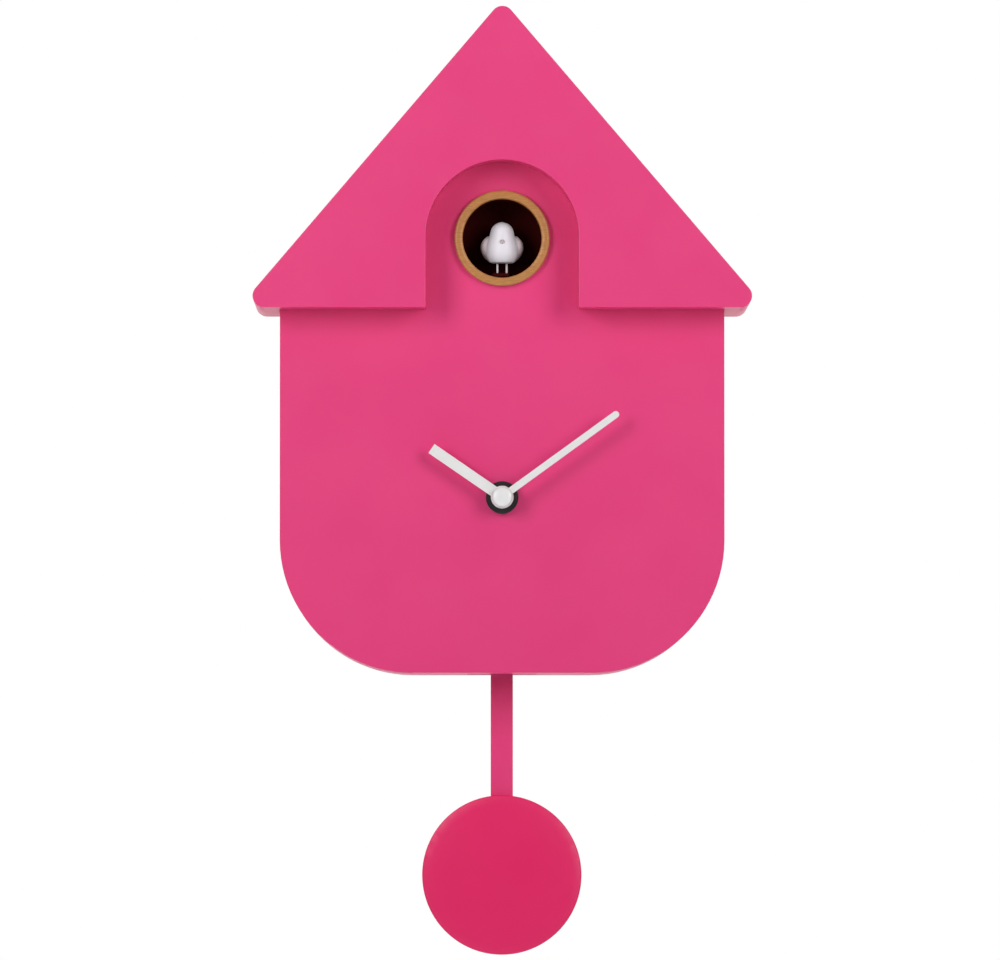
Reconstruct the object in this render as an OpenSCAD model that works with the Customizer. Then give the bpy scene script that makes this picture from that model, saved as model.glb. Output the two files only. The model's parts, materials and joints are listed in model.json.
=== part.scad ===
// House-shaped wall clock with a pendulum, a sliding cuckoo and battery works.
// +Z is up, the dial faces -Y, and the origin is the centre of the hanger hole
// on the outer face of the back cover, where the clock lies against the wall.

/* [House] */
// Width of the roof across the eaves
roof_w = 215; // [205:1:225]
// Height of the roof from the eaves to the ridge
roof_h = 130; // [124:1:136]
// Radius of the roof's three corners
roof_r = 5; // [4:0.5:6]
// Depth of the whole clock from the wall to the roof's front
depth = 80; // [80:1:84]
// Distance from the roof's front back to the dial face
roof_step = 18; // [17:0.5:18]
// Width of the body below the roof
body_w = 192; // [190:1:200]
// Height of the body below the eaves
body_drop = 157; // [155:1:162]
// Radius of the body's lower corners
body_r = 57.3; // [50:0.1:60]
// Thickness of the moulded walls
wall = 2.5; // [2.4:0.1:2.6]
// Height of the ridge above the hanger hole
hanger_drop = 30; // [29:1:31]

/* [Cuckoo] */
// Height of the bird hole's centre above the eaves
bird_up = 30.7; // [30:0.1:31.5]
// Inner radius of the bird ring
ring_in = 17.05; // [17:0.05:17.4]
// Outer radius of the bird ring
ring_out = 20.65; // [20.2:0.05:21.2]
// Radius of the arch cut into the roof's front
arch_r = 33; // [30:0.5:35]

/* [Dial] */
// Distance from the eaves down to the hands' axis
axis_down = 81.4; // [81:0.1:82]
// Clock hour at rest
rest_hour = 10; // [0:1:11]
// Clock minute at rest
rest_minute = 9; // [0:1:59]
// Length of the minute hand
minute_len = 62; // [50:1:70]
// Length of the hour hand
hour_len = 37; // [30:1:45]

/* [Pendulum] */
// Distance from the eaves down to the pendulum's pivot
pivot_down = 118; // [118:0.5:118.5]
// Distance from the pivot down to the middle of the bob
bob_down = 126.2; // [120:0.1:140]
// Radius of the bob
bob_r = 34.6; // [30:0.1:38]
// Width of the pendulum rod
rod_w = 9.6; // [8:0.1:12]

/* [Hidden] */
$fn = 64;

// Heights and depths of the main faces
ridge_z = hanger_drop;
eave_z = ridge_z - roof_h;
floor_z = eave_z - body_drop;
front_y = -depth;
face_y = front_y + roof_step;
inner_y = face_y + wall;
bird_z = eave_z + bird_up;
axis_z = eave_z - axis_down;
pivot_z = eave_z - pivot_down;
bob_z = pivot_z - bob_down;

// Shape of the roof: base half-width and height between the corner centres
roof_half = roof_w / 2 - roof_r;
roof_rise = roof_h - 2 * roof_r;
slope = atan(roof_half / roof_rise);
roof_gap = 0.5;
eps = 0.01;
over = 1;

// Colours
pink = [0.89, 0.28, 0.50];
pink_back = [0.82, 0.24, 0.44];
gold = [0.75, 0.53, 0.29];
cream = [0.95, 0.94, 0.94];
black = [0.06, 0.06, 0.07];
dark = [0.11, 0.03, 0.02];
grey = [0.62, 0.63, 0.65];
brass = [0.80, 0.65, 0.34];
copper = [0.72, 0.42, 0.22];
steel = [0.72, 0.73, 0.75];
green = [0.10, 0.36, 0.20];
white = [0.93, 0.92, 0.92];

// Screws: clearances and heads shared by every kind
screw_r = 1.45;
pilot_r = 1.5;
head_r = 2.8;
cone_h = 1.4;
head_sink = 0.2;

// ---- Helpers ----

// Extrudes an outline drawn in X and Z from one depth to another
module slab(y0, y1) {
    translate([0, y1, 0])
        rotate([90, 0, 0])
            linear_extrude(y1 - y0)
                children();
}

// A rod along Y between two depths
module rod_y(x, z, r, y0, y1) {
    slab(y0, y1)
        translate([x, z])
            circle(r);
}

// A ring along Y between two depths
module tube_y(x, z, ro, ri, y0, y1) {
    slab(y0, y1)
        translate([x, z])
            difference() {
                circle(ro);
                circle(ri);
            }
}

// A box between two opposite corners
module block(a, b) {
    translate(a)
        cube(b - a);
}

// Convex outline with round corners: centres run anticlockwise
module rounded(centres, r) {
    n = len(centres);
    normals = [for (i = [0 : n - 1])
        let (d = centres[(i + 1) % n] - centres[i])
        [d[1], -d[0]] / norm(d)];
    polygon([for (i = [0 : n - 1], k = [0, 1])
        centres[(i + k) % n] + r * normals[i]]);
    for (c = centres)
        translate(c)
            circle(r);
}

// Rectangle with round corners
module plate(x0, x1, z0, z1, r) {
    rounded([[x0 + r, z0 + r], [x1 - r, z0 + r], [x1 - r, z1 - r], [x0 + r, z1 - r]], r);
}

// Spur gear outline with one tooth centred on the angle given
module gear2d(teeth, m, phase) {
    pitch_r = teeth * m / 2;
    root_r = pitch_r - 1.15 * m;
    tip_r = pitch_r + 0.75 * m;
    step = 360 / teeth;
    half = [0.30, 0.30, 0.11, 0.11];
    radii = [root_r, pitch_r - 0.35 * m, tip_r, tip_r];
    order = [[0, -1], [2, -1], [2, 1], [0, 1]];
    polygon([for (i = [0 : teeth - 1], o = order)
        let (a = phase + step * (i + o[1] * half[o[0]]))
        radii[o[0]] * [cos(a), sin(a)]]);
}

// Gear whose axis runs along Y
module gear_y(c, teeth, m, phase, y0, y1) {
    slab(y0, y1)
        translate(c)
            gear2d(teeth, m, phase);
}

// Countersunk screw along Y with its head facing +Y
module screw(x, z, y_head, len) {
    rod_y(x, z, screw_r, y_head - len, y_head - cone_h + eps);
    translate([x, y_head, z])
        rotate([90, 0, 0])
            difference() {
                cylinder(h = cone_h, r1 = head_r, r2 = screw_r);
                for (a = [0, 90])
                    rotate(a)
                        cube([2.6, 0.6, 1.2], center = true);
            }
}

// Hole that a countersunk screw needs in a plate, open above the head
module screw_hole(x, z, y_head, len) {
    rod_y(x, z, pilot_r, y_head - len, y_head);
    rod_y(x, z, head_r + 0.1, y_head, y_head + over);
    translate([x, y_head + eps, z])
        rotate([90, 0, 0])
            cylinder(h = cone_h + 0.1, r1 = head_r + 0.1, r2 = pilot_r);
}

// AA cell standing on its negative end, axis +Z, negative end at the origin
cell_r = 7.25;
cell_len = 49.2;
nub_len = 1.3;
module cell() {
    cylinder(r = cell_r, h = cell_len);
    cylinder(r = 2.7, h = cell_len + nub_len);
}

// Conical contact spring standing on the origin, wound along +Z
spring_wire = 0.4;
function coil_at(t, h) = let (r = 4.6 - 1.8 * t, a = 360 * 3 * t)
    [r * cos(a), r * sin(a), spring_wire + t * (h - 2 * spring_wire)];
module contact_spring(h) {
    steps = 54;
    sides = 6;
    points = [for (i = [0 : steps], k = [0 : sides - 1])
        let (c = coil_at(i / steps, h), out = [c[0], c[1], 0] / norm([c[0], c[1]]))
        c + spring_wire * (cos(360 * k / sides) * out + [0, 0, sin(360 * k / sides)])];
    faces = [for (i = [0 : steps - 1], k = [0 : sides - 1])
        let (a = i * sides + k, b = i * sides + (k + 1) % sides)
        [a, b, b + sides, a + sides]];
    polyhedron(points, concat(faces,
        [[for (k = [sides - 1 : -1 : 0]) k], [for (k = [0 : sides - 1]) steps * sides + k]]));
}

// ---- House ----

// Roof outline, drawn in from its edge by a given distance
module roof_outline(inset) {
    r = max(roof_r - inset, 0.5);
    t = inset + r - roof_r;
    half = roof_half - t / tan((90 - slope) / 2);
    base = eave_z + roof_r + t;
    top = ridge_z - roof_r - t / sin(slope);
    rounded([[-half, base], [half, base], [0, top]], r);
}

// Body outline: straight sides, round lower corners and a gable inside the roof
module body_outline(inset) {
    half = body_w / 2 - inset;
    corner = body_r - inset;
    centre_x = body_w / 2 - body_r;
    centre_z = floor_z + body_r;
    intersection() {
        union() {
            roof_outline(wall + roof_gap + inset);
            translate([-half, centre_z])
                square([2 * half, eave_z + 10 - centre_z]);
        }
        translate([-half, centre_z])
            square([2 * half, ridge_z - centre_z]);
    }
    translate([-centre_x, floor_z + inset])
        square([2 * centre_x, corner + eps]);
    for (side = [-1, 1])
        translate([side * centre_x, centre_z])
            circle(corner);
}

arch_wall = 2;
cover_t = 2.5;
cover_inner = -cover_t;
cover_play = 0.25;
post_r = 3.5;
cover_posts = [[-83, -118], [83, -118], [-64, -230], [64, -230], [0, 13]];
roof_posts = [[-60, -88], [60, -88], [0, -18]];
shelf_posts = [[-20, -98], [24, -98]];
shelf_post_y = -56;

// Slot in the body's floor for the pendulum
slot_half = 15;
slot_y = [-34, -19];

module body_shell() {
    color(pink)
    difference() {
        union() {
            difference() {
                slab(face_y, 0) body_outline(0);
                slab(inner_y, over) body_outline(wall);
            }
            for (p = cover_posts)
                rod_y(p[0], p[1], post_r, inner_y - eps, cover_inner - 0.02);
            for (p = shelf_posts)
                rod_y(p[0], p[1], 3, inner_y - eps, shelf_post_y);
        }
        for (p = cover_posts)
            rod_y(p[0], p[1], pilot_r, -16, over);
        for (p = shelf_posts)
            rod_y(p[0], p[1], pilot_r, shelf_post_y - 2.8, over);
        for (p = roof_posts)
            rod_y(p[0], p[1], pilot_r, face_y - over, inner_y + over);
        rod_y(0, bird_z, ring_in + 1.9, face_y - over, inner_y + over);
        rod_y(0, axis_z, 4.15, face_y - over, inner_y + over);
        block([-slot_half, slot_y[0], floor_z - over], [slot_half, slot_y[1], floor_z + wall + over]);
    }
}

module arch(r) {
    translate([0, bird_z])
        circle(r);
    translate([-r, eave_z - over])
        square([2 * r, bird_z - eave_z + over]);
}

module roof_shell() {
    plate_back = front_y + wall;
    color(pink)
    difference() {
        union() {
            difference() {
                slab(front_y, 0) roof_outline(0);
                slab(plate_back, over) roof_outline(wall);
                // passage for the body through the underside
                block([-body_w / 2 - 0.2, face_y - 0.05, eave_z - over],
                    [body_w / 2 + 0.2, over, eave_z + wall + 4]);
            }
            slab(front_y, face_y - 0.05)
                intersection() {
                    arch(arch_r + arch_wall);
                    roof_outline(0);
                }
            for (p = roof_posts)
                rod_y(p[0], p[1], post_r, plate_back - eps, face_y - 0.05);
        }
        slab(front_y - over, 0) arch(arch_r);
        for (p = roof_posts)
            rod_y(p[0], p[1], pilot_r, plate_back + 1, over);
    }
}

// Window in the back cover behind the movement and the pendulum's hook
window = [-34, 34, -246, -142];
// Battery opening: left, right, bottom, top
bay = [-86.5, -39.5, -211.5, -155.5];
hinge_y = -1.25;
hinge_z = bay[3] - 1.5;
pintle_r = 0.8;
pintle_len = 2;
door_play = 0.3;
speaker_c = [64, -186];
switch_c = [64, -136];
switch_travel = 4;
keyhole_r = 4.5;
keyhole_slot_r = 2.2;
keyhole_up = 8;
keyhole_t = 4;

module back_cover() {
    color(pink_back)
    difference() {
        union() {
            slab(cover_inner, 0) body_outline(wall + cover_play);
            rod_y(0, 0, 8.5, -keyhole_t, 0);
            // rim that stiffens the window
            slab(cover_inner - 2, cover_inner + eps)
                difference() {
                    plate(window[0] - 2, window[1] + 2, window[2] - 2, window[3] + 2, 5);
                    plate(window[0], window[1], window[2], window[3], 3);
                }
            for (p = board_posts)
                rod_y(p[0], p[1], 2.5, board_y[1], cover_inner + eps);
        }
        slab(-10, over)
            plate(window[0], window[1], window[2], window[3], 3);
        slab(-10, over)
            translate([bay[0], bay[2]])
                square([bay[1] - bay[0], bay[3] - bay[2]]);
        // sockets for the battery door's pintles
        translate([bay[0] - pintle_len - 0.2, hinge_y, hinge_z])
            rotate([0, 90, 0])
                cylinder(r = pintle_r + 0.05, h = bay[1] - bay[0] + 2 * pintle_len + 0.4);
        // finger scoop under the door
        translate([(bay[0] + bay[1]) / 2, 0.6, bay[2]])
            rotate([90, 0, 0])
                cylinder(r = 7, h = 2);
        // keyhole
        rod_y(0, 0, keyhole_r, -keyhole_t - over, over);
        rod_y(0, keyhole_up, keyhole_slot_r, -keyhole_t - over, over);
        block([-keyhole_slot_r, -keyhole_t - over, 0],
            [keyhole_slot_r, over, keyhole_up]);
        for (p = cover_posts)
            screw_hole(p[0], p[1], -head_sink, 6);
        for (p = board_posts)
            rod_y(p[0], p[1], 1.05, board_y[1] - over, cover_inner - 0.5);
        // sound slots in front of the speaker
        for (i = [-3 : 3])
            slab(-10, over)
                translate([speaker_c[0], speaker_c[1] + 5 * i])
                    plate(-13 + abs(i), 13 - abs(i), -1, 1, 0.95);
        // slot and shallow dish for the sound switch
        slab(-10, over)
            translate(switch_c)
                plate(-5.4, 5.4, -2.2, 2.2, 0.5);
        slab(-1.2, over)
            translate(switch_c)
                plate(-10, 10, -5, 5, 3);
    }
}

module cover_screws() {
    color(steel)
    for (p = cover_posts)
        screw(p[0], p[1], -head_sink, 12);
}

module roof_screws() {
    color(steel)
    for (p = roof_posts) {
        rod_y(p[0], p[1], screw_r, face_y - 8, inner_y + eps);
        rod_y(p[0], p[1], head_r, inner_y, inner_y + 2);
    }
}

// ---- Cuckoo ----

ring_flange_y = face_y - 3;
tunnel_out = ring_in + 1.8;
tunnel_y = -41.5;
tunnel_wall = 1.5;
shelf_top = bird_z - 19.1;
shelf_t = 2;
bar_top = bird_z - 14.7;
bar_t = 1.5;
bar_half = 4;
rack_y = [-33, -5];
rack_bottom = shelf_top + 0.3;
rack_m = 0.8;
pinion_teeth = 10;
pinion_r = rack_m * pinion_teeth / 2;
pinion_c = [bar_half + pinion_r, -31];
wheel_m = 0.5;
wheel_teeth = 30;
motor_teeth = 8;
motor_c = [pinion_c[0] + wheel_m * (wheel_teeth + motor_teeth) / 2, pinion_c[1]];
wheel_z = bar_top + 0.5;

module bird_ring() {
    color(gold) {
        tube_y(0, bird_z, ring_out, ring_in, ring_flange_y, face_y - 0.02);
        tube_y(0, bird_z, ring_in + 1.85, ring_in, face_y - 0.03, inner_y);
    }
}

module bird_tunnel() {
    color(dark)
    difference() {
        union() {
            tube_y(0, bird_z, tunnel_out, ring_in, inner_y + 0.05, tunnel_y + tunnel_wall);
            rod_y(0, bird_z, tunnel_out, tunnel_y, tunnel_y + tunnel_wall);
            tube_y(0, bird_z, ring_in + 5, ring_in, inner_y + 0.05, inner_y + 2);
        }
        // slot for the carriage in the tunnel's floor and back wall
        block([-bar_half - 0.5, inner_y + 2.1, shelf_top - 1],
            [bar_half + 1.3, tunnel_y + tunnel_wall + over, bar_top + 0.4]);
    }
}

module cuckoo_shelf() {
    color(white)
    difference() {
        union() {
            block([-28, shelf_post_y, shelf_top - shelf_t], [32, -5, shelf_top]);
            block([-28, shelf_post_y, shelf_top - 15], [32, shelf_post_y + 2, shelf_top]);
            // fence that guides the carriage's plain side
            block([-bar_half - 2.4, -38, shelf_top - eps], [-bar_half - 0.4, -6, bar_top - 0.2]);
        }
        translate([motor_c[0], motor_c[1], shelf_top - 5])
            cylinder(r = 1.6, h = 10);
        translate([pinion_c[0], pinion_c[1], shelf_top - 5])
            cylinder(r = 1, h = 10);
        for (p = shelf_posts)
            rod_y(p[0], p[1], pilot_r, shelf_post_y - over, shelf_post_y + 4);
    }
}

module shelf_screws() {
    color(steel)
    for (p = shelf_posts) {
        rod_y(p[0], p[1], screw_r, shelf_post_y - 2.6, shelf_post_y + 2 + eps);
        rod_y(p[0], p[1], head_r, shelf_post_y + 2, shelf_post_y + 4);
    }
}

// Bird: belly, head and tail in one moulding
belly_r = 7;
crown_r = 5.1;
belly_z = bird_z - 5.6;
crown_z = bird_z + 2.6;
belly_base = bird_z - 10.4;
bird_y = -52.5;

module bird_body() {
    color(cream)
    difference() {
        hull() {
            translate([0, bird_y, belly_z])
                sphere(r = belly_r, $fn = 32);
            translate([0, bird_y - 0.5, crown_z])
                sphere(r = crown_r, $fn = 32);
            translate([0, bird_y + 8, belly_z - 0.5])
                sphere(r = 1.6, $fn = 16);
        }
        block([-10, bird_y - 10, belly_base - 5], [10, bird_y + 12, belly_base]);
    }
}

module bird_wings() {
    color([0.93, 0.72, 0.76])
    for (side = [-1, 1])
        hull() {
            translate([side * 6, bird_y - 0.5, bird_z - 0.2])
                sphere(r = 2, $fn = 24);
            translate([side * 7.3, bird_y - 0.5, bird_z - 3.4])
                sphere(r = 2.1, $fn = 24);
            translate([side * 6.8, bird_y + 0.5, bird_z - 6.8])
                sphere(r = 1.6, $fn = 24);
            translate([side * 6, bird_y + 6.5, bird_z - 7])
                sphere(r = 0.8, $fn = 24);
        }
}

module bird_beak() {
    color(grey)
    translate([0, bird_y - 5.6, crown_z - 3.8])
        rotate([90, 0, 0])
            cylinder(h = 2.8, r1 = 1.2, r2 = 0.2);
}

leg_x = 2;
leg_r = 0.45;

module bird_legs() {
    color(cream)
    for (side = [-1, 1])
        translate([side * leg_x, bird_y, bar_top])
            cylinder(r = leg_r, h = belly_base + 0.6 - bar_top);
}

// Thin bar under the bird that widens behind it into a toothed rack
module bird_carriage() {
    teeth = floor((rack_y[1] - rack_y[0]) / (PI * rack_m)) - 1;
    root_x = bar_half - 1.15 * rack_m;
    pitch = PI * rack_m;
    color(dark) {
        block([-bar_half, bird_y - 4.5, bar_top - bar_t],
            [root_x, rack_y[1], bar_top]);
        block([-bar_half, rack_y[0], rack_bottom],
            [root_x, rack_y[1], bar_top - 0.5]);
        for (i = [0 : teeth - 1])
            translate([0, pinion_c[1] + pitch * (i + 0.5), rack_bottom])
                linear_extrude(bar_top - 0.5 - rack_bottom)
                    polygon([[root_x - eps, -0.30 * pitch], [bar_half + 0.6 * rack_m, -0.11 * pitch],
                        [bar_half + 0.6 * rack_m, 0.11 * pitch], [root_x - eps, 0.30 * pitch]]);
    }
}

module rack_pinion() {
    color(white)
    difference() {
        translate([pinion_c[0], pinion_c[1], 0]) {
            translate([0, 0, rack_bottom])
                linear_extrude(wheel_z - rack_bottom + eps)
                    gear2d(pinion_teeth, rack_m, 180);
            translate([0, 0, wheel_z])
                linear_extrude(2)
                    gear2d(wheel_teeth, wheel_m, 180 / wheel_teeth);
        }
        translate([pinion_c[0], pinion_c[1], rack_bottom - over])
            cylinder(r = 1.05, h = 10);
    }
}

module pinion_axle() {
    color(steel)
    translate([pinion_c[0], pinion_c[1], shelf_top - shelf_t])
        cylinder(r = 1, h = wheel_z + 3 - shelf_top + shelf_t);
}

module cuckoo_motor() {
    color(grey)
    translate([motor_c[0], motor_c[1], 0]) {
        translate([0, 0, shelf_top - shelf_t - 18])
            cylinder(r = 6, h = 18);
        translate([0, 0, shelf_top - shelf_t - 19.5])
            cylinder(r = 2, h = 1.6);
    }
}

module motor_pinion() {
    color(brass)
    translate([motor_c[0], motor_c[1], 0]) {
        translate([0, 0, shelf_top - shelf_t + 0.05])
            cylinder(r = 0.75, h = wheel_z - shelf_top + shelf_t + 2);
        translate([0, 0, wheel_z - 0.5])
            linear_extrude(3)
                gear2d(motor_teeth, wheel_m, 180);
    }
}

// ---- Clock movement ----

case_half = 28;
case_top = axis_z + 31.4;
case_bottom = axis_z - 30.6;
case_y = inner_y + 1;
split_y = -50;
case_back = -42.4;
case_wall = 1.4;
bay_bottom = axis_z + 14.2;
hand_c = [0, axis_z];

// Motion work: cannon pinion 12, minute wheel 36 with pinion 10, hour wheel 40
motion_m = 0.4;
cannon_teeth = 12;
motion_teeth = 36;
motion_cd = motion_m * (cannon_teeth + motion_teeth) / 2;
motion_pinion = 10;
hour_teeth = 40;
hour_m = 2 * motion_cd / (motion_pinion + hour_teeth);
motion_dir = 215;
motion_c = hand_c + motion_cd * [cos(motion_dir), sin(motion_dir)];
knob_dir = 250;
knob_c = motion_c + motion_cd * [cos(knob_dir), sin(knob_dir)];

// Going train: centre wheel 48 drives the third wheel's pinion 8
train_m = 0.3;
centre_teeth = 48;
third_pinion = 8;
third_teeth = 44;
third_dir = -30;
third_c = hand_c + train_m * (centre_teeth + third_pinion) / 2 * [cos(third_dir), sin(third_dir)];
rotor_c = hand_c + [18, -15];

bush_r = 4;
bush_in = 2.6;
flange_r = 6;
bush_tip = face_y - 6;
nut_r = 7;
hour_r = 2.54;
arbor_r = 1.7;
hour_y = bush_tip - 0.8;
hour_wheel_y = -54.4;
hand_t = 0.8;
minute_y = hour_y - 2.6;

module movement_outline() {
    plate(-case_half, case_half, case_bottom, case_top, 4);
}

module movement_case() {
    color(white)
    difference() {
        slab(case_y, split_y - 0.02) movement_outline();
        slab(case_y + case_wall, 0)
            plate(-case_half + case_wall, case_half - case_wall,
                case_bottom + case_wall, bay_bottom, 2);
        slab(case_y + 1, 0)
            plate(-27, 27, bay_bottom + 1.4, case_top - 1, 1);
        rod_y(0, axis_z, flange_r + 0.05, case_y - over, case_y + case_wall + over);
    }
}

module movement_cover() {
    color(white)
    difference() {
        slab(split_y, case_back) movement_outline();
        slab(-60, case_back - case_wall)
            plate(-case_half + case_wall, case_half - case_wall,
                case_bottom + case_wall, bay_bottom, 2);
        slab(-60, 0)
            plate(-27, 27, bay_bottom + 1.4, case_top - 1, 1);
        rod_y(knob_c[0], knob_c[1], 1.6, -60, 0);
        for (p = bracket_posts)
            rod_y(p[0], p[1], pilot_r, case_back - 1, 0);
    }
}

module bush_washer() {
    color(black)
    tube_y(0, axis_z, 10, 4.15, inner_y, case_y);
}

module threaded_bush() {
    color(brass) {
        tube_y(0, axis_z, bush_r, bush_in, bush_tip, case_y + 0.02);
        tube_y(0, axis_z, flange_r, bush_in, case_y, case_y + case_wall);
    }
}

module dial_nut() {
    color(black)
    difference() {
        tube_y(0, axis_z, nut_r, bush_r, face_y - 4, face_y);
        // two grip notches
        for (side = [-1, 1])
            translate([side * nut_r, face_y - 4, axis_z])
                rotate([90, 0, 0])
                    cylinder(r = 1, h = 2, center = true);
    }
}

module hour_wheel() {
    color(white)
    difference() {
        union() {
            rod_y(0, axis_z, hour_r, hour_y - hand_t, hour_wheel_y);
            gear_y(hand_c, hour_teeth, hour_m, motion_dir + 180 / hour_teeth,
                hour_wheel_y - 1.2, hour_wheel_y);
        }
        rod_y(0, axis_z, arbor_r + 0.06, -100, 0);
    }
}

// Angle of a hand, measured anticlockwise from +X as the outline is drawn
function hand_angle(turn) = 90 - 360 * turn;
minute_turn = rest_minute / 60;
hour_turn = (rest_hour + minute_turn) / 12;

// Flat hand with a round hub, a tail end and a bore
module hand(turn, len, w, tip_round, hub_r, bore_r, y0, y1) {
    slab(y0, y1)
        translate(hand_c)
            rotate(hand_angle(turn))
                difference() {
                    union() {
                        translate([0, -w / 2])
                            square([len - tip_round, w]);
                        translate([len - w / 2 - 0.05, 0])
                            circle(tip_round > 0 ? w / 2 : w / 4);
                        circle(hub_r);
                    }
                    circle(bore_r);
                }
}

module hour_hand() {
    color(cream)
    hand(hour_turn, hour_len, 4.7, 0, 4.9, hour_r + eps, hour_y - hand_t, hour_y);
}

module minute_arbor() {
    color(steel) {
        rod_y(0, axis_z, arbor_r, minute_y - hand_t, -50.4);
        rod_y(0, axis_z, 0.5, -50.5, case_back - case_wall - 0.2);
        gear_y(hand_c, cannon_teeth, motion_m, motion_dir, -54, -52.6);
        gear_y(hand_c, centre_teeth, train_m, third_dir, -51.6, -50.8);
    }
}

module minute_hand() {
    color(cream)
    hand(minute_turn, minute_len, 3, 1.5, 3.9, arbor_r + eps, minute_y - hand_t, minute_y);
}

module hand_cap() {
    cap_back = minute_y - hand_t - 0.02;
    color(cream) {
        rod_y(0, axis_z, 4.3, cap_back - 1.5, cap_back);
        rod_y(0, axis_z, 3.4, cap_back - 2.2, cap_back - 1.5 + eps);
    }
}

module motion_wheel() {
    toward_hand = motion_dir + 180;
    color(white) {
        gear_y(motion_c, motion_teeth, motion_m, toward_hand + 180 / motion_teeth, -53.8, -52.8);
        gear_y(motion_c, motion_pinion, hour_m, toward_hand, -56, -53.7);
        rod_y(motion_c[0], motion_c[1], 0.6, case_y + case_wall + 0.1,
            case_back - case_wall - 0.1);
    }
}

module third_wheel() {
    toward_hand = third_dir + 180;
    color(white) {
        gear_y(third_c, third_pinion, train_m, toward_hand + 180 / third_pinion, -52, -49.9);
        gear_y(third_c, third_teeth, train_m, 0, -49.9 - eps, -49);
        rod_y(third_c[0], third_c[1], 0.5, hour_wheel_y + 0.3, case_back - case_wall - 0.1);
    }
}

module setting_knob() {
    tooth_off = 180 / cannon_teeth;
    // the wheel's tooth nearest this side sets where the pinion's gap lies
    wheel_step = 360 / motion_teeth;
    wheel_phase = motion_dir + 180 + 180 / motion_teeth;
    nearest = wheel_phase + wheel_step * round((knob_dir - wheel_phase) / wheel_step);
    lag = (knob_dir - nearest) * motion_teeth / cannon_teeth;
    color(black) {
        gear_y(knob_c, cannon_teeth, motion_m, knob_dir + 180 + tooth_off + lag, -54, -52.6);
        rod_y(knob_c[0], knob_c[1], 1.52, -52.7, case_back + 1);
        slab(case_back + 0.4, case_back + 4.4)
            translate(knob_c)
                gear2d(30, 0.38, 0);
    }
}

module stepper_rotor() {
    color(black) {
        rod_y(rotor_c[0], rotor_c[1], 2.4, -49, -46);
        rod_y(rotor_c[0], rotor_c[1], 0.45, case_y + case_wall + 0.1,
            case_back - case_wall - 0.1);
    }
}

coil_z = case_bottom + 5.6;
module stepper_stator() {
    color(steel)
    difference() {
        slab(-48.5, -47.3) {
            translate([rotor_c[0] - 6, coil_z - 2])
                square([12, rotor_c[1] + 5.5 - coil_z]);
            translate([-16, coil_z - 2])
                square([rotor_c[0] + 16, 4]);
        }
        rod_y(rotor_c[0], rotor_c[1], 3, -60, 0);
    }
}

module stepper_coil() {
    color(copper)
    difference() {
        translate([-14, -47.9, coil_z])
            rotate([0, 90, 0])
                cylinder(r = 3.6, h = 24);
        block([-20, -48.55, coil_z - 2.05], [12, -47.25, coil_z + 2.05]);
    }
}

module quartz_board() {
    color(green)
    block([-26, -50.5, case_bottom + 10], [-16, -49.5, case_bottom + 17]);
    color(steel)
    translate([-24, -48.4, case_bottom + 13.5])
        rotate([0, 90, 0])
            cylinder(r = 1.1, h = 6);
}

cell_z = (bay_bottom + 1.4 + case_top - 1) / 2;
module clock_cell() {
    color([0.25, 0.27, 0.30])
    translate([-24, -50, cell_z])
        rotate([0, 90, 0])
            cell();
}

module clock_contacts() {
    color(steel) {
        block([-26.95, -54, cell_z - 4], [-26.55, -46, cell_z + 4]);
        block([26.55, -54, cell_z - 4], [26.95, -46, cell_z + 4]);
        translate([-26.56, -50, cell_z])
            rotate([0, 90, 0])
                contact_spring(2.5);
    }
}

// ---- Pendulum ----

bracket_half = 16;
bracket_top = pivot_z + 5;
bracket_bottom = pivot_z - 26;
bracket_front = case_back + 0.02;
bracket_t = 1.5;
bracket_rear = -20.5;
bracket_posts = [[5, case_bottom + 8], [16, case_bottom + 8]];
coil_drop = 18;
magnet_y = [-36.9, -34.4];
hanger_y = [-34.4, -28.6];
peg_drop = 24;
rod_y0 = -28.2;
rod_t = 3;
pivot_r = 1;
bob_t = 6;
bob_dome = 2;
bob_screw_z = [bob_z + 12, bob_z - 12];

module pendulum_bracket() {
    color(white)
    difference() {
        union() {
            slab(bracket_front, bracket_front + bracket_t)
                plate(-bracket_half, bracket_half, bracket_bottom, bracket_top, 2);
            slab(bracket_rear, bracket_rear + bracket_t)
                plate(-8, 8, pivot_z - 5, bracket_top, 2);
            block([-8, bracket_front, bracket_top - bracket_t],
                [8, bracket_rear + bracket_t, bracket_top]);
            slab(bracket_front, bracket_front + bracket_t)
                plate(1, 21, bracket_top - 3, case_bottom + 12, 2);
        }
        rod_y(0, pivot_z, pivot_r, -100, 0);
        for (p = bracket_posts)
            rod_y(p[0], p[1], pilot_r, -100, 0);
    }
}

module bracket_screws() {
    color(steel)
    for (p = bracket_posts) {
        rod_y(p[0], p[1], screw_r, case_back - 0.9, bracket_front + bracket_t + eps);
        rod_y(p[0], p[1], head_r, bracket_front + bracket_t, bracket_front + bracket_t + 1.8);
    }
}

module pivot_pin() {
    color(steel)
    rod_y(0, pivot_z, pivot_r, bracket_front, bracket_rear + bracket_t);
}

module drive_coil() {
    color(copper)
    tube_y(0, pivot_z - coil_drop, 6.5, 2, bracket_front + bracket_t, bracket_front + bracket_t + 3);
}

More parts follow.
